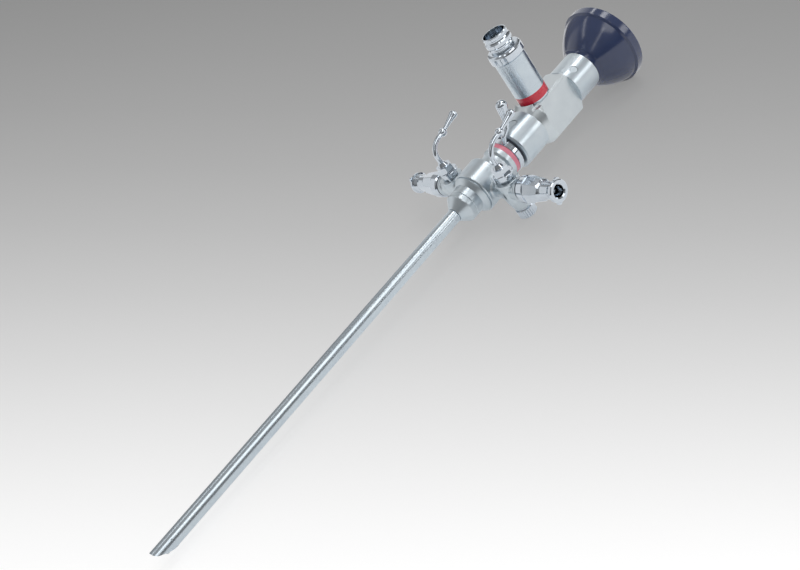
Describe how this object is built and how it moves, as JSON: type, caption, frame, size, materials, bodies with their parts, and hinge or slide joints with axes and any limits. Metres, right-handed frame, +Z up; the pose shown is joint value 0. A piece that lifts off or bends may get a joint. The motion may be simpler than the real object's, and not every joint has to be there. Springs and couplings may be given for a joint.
{
  "type": "rigid endoscope",
  "caption": "Rigid medical telescope in a steel irrigation sheath, with opposed stopcocks, a lock ring with finger lever, an upright light post and a flared eyepiece cup.",
  "frame": {"origin": "on the optical axis, in the plane where the sheath tube leaves the cone of the hub", "axes": "+X along the optical axis towards the eye, +Z up along the light post, +Y to the right-hand stopcock"},
  "size_m": [0.2424, 0.0774, 0.0519],
  "materials": {
    "satin_steel": "satin",
    "bright_steel": "polished",
    "post_ring_red": "glossy",
    "sheath_ring_red": "glossy",
    "seal_rubber": "matte",
    "cup_plastic": "satin",
    "lens_glass": "polished",
    "fibre_glass": "polished"
  },
  "bodies": {
    "instrument": {"body_block": "satin_steel", "body_front": "satin_steel", "cone_nut": "bright_steel", "cover_glass": "lens_glass", "eyepiece_barrel": "satin_steel", "eyepiece_cup": "cup_plastic", "fibre_window": "lens_glass", "front_prism": "lens_glass", "hub_sleeve": "satin_steel", "left_cock_body": "satin_steel", "left_connector": "bright_steel", "left_gasket": "seal_rubber", "left_stop_pin": "bright_steel", "lens_tube": "satin_steel", "light_fibres": "fibre_glass", "light_post": "satin_steel", "lock_collar": "satin_steel", "lock_retainer": "satin_steel", "ocular_lens": "lens_glass", "post_collar": "bright_steel", "post_end": "bright_steel", "post_red_ring": "post_ring_red", "right_cock_body": "satin_steel", "right_connector": "bright_steel", "right_gasket": "seal_rubber", "right_stop_pin": "bright_steel", "rod_lenses": "lens_glass", "seal_ring": "seal_rubber", "set_screws": "bright_steel", "sheath_red_ring": "sheath_ring_red", "sheath_tube": "satin_steel", "stopcock_ring": "bright_steel", "telescope_tube": "satin_steel"},
    "left_key": {"left_plug": "satin_steel", "left_plug_cap": "bright_steel", "left_lever": "bright_steel", "left_spring_washer": "bright_steel", "left_plug_nut": "bright_steel"},
    "right_key": {"right_plug": "satin_steel", "right_plug_cap": "bright_steel", "right_lever": "bright_steel", "right_spring_washer": "bright_steel", "right_plug_nut": "bright_steel"},
    "lock": {"lock_ring": "bright_steel"}
  },
  "joints": [
    {"name": "left_stopcock_turn", "type": "hinge", "parent": "instrument", "child": "left_key", "pos_m": [0.0158, -0.0153, 0], "axis": [0, 0, 1], "range_deg": [-90, 0]},
    {"name": "right_stopcock_turn", "type": "hinge", "parent": "instrument", "child": "right_key", "pos_m": [0.0158, 0.0153, 0], "axis": [0, 0, 1], "range_deg": [0, 90]},
    {"name": "lock_ring_turn", "type": "hinge", "parent": "instrument", "child": "lock", "pos_m": [0.0306, 0, 0], "axis": [1, 0, 0], "range_deg": [-40, 0]}
  ]
}
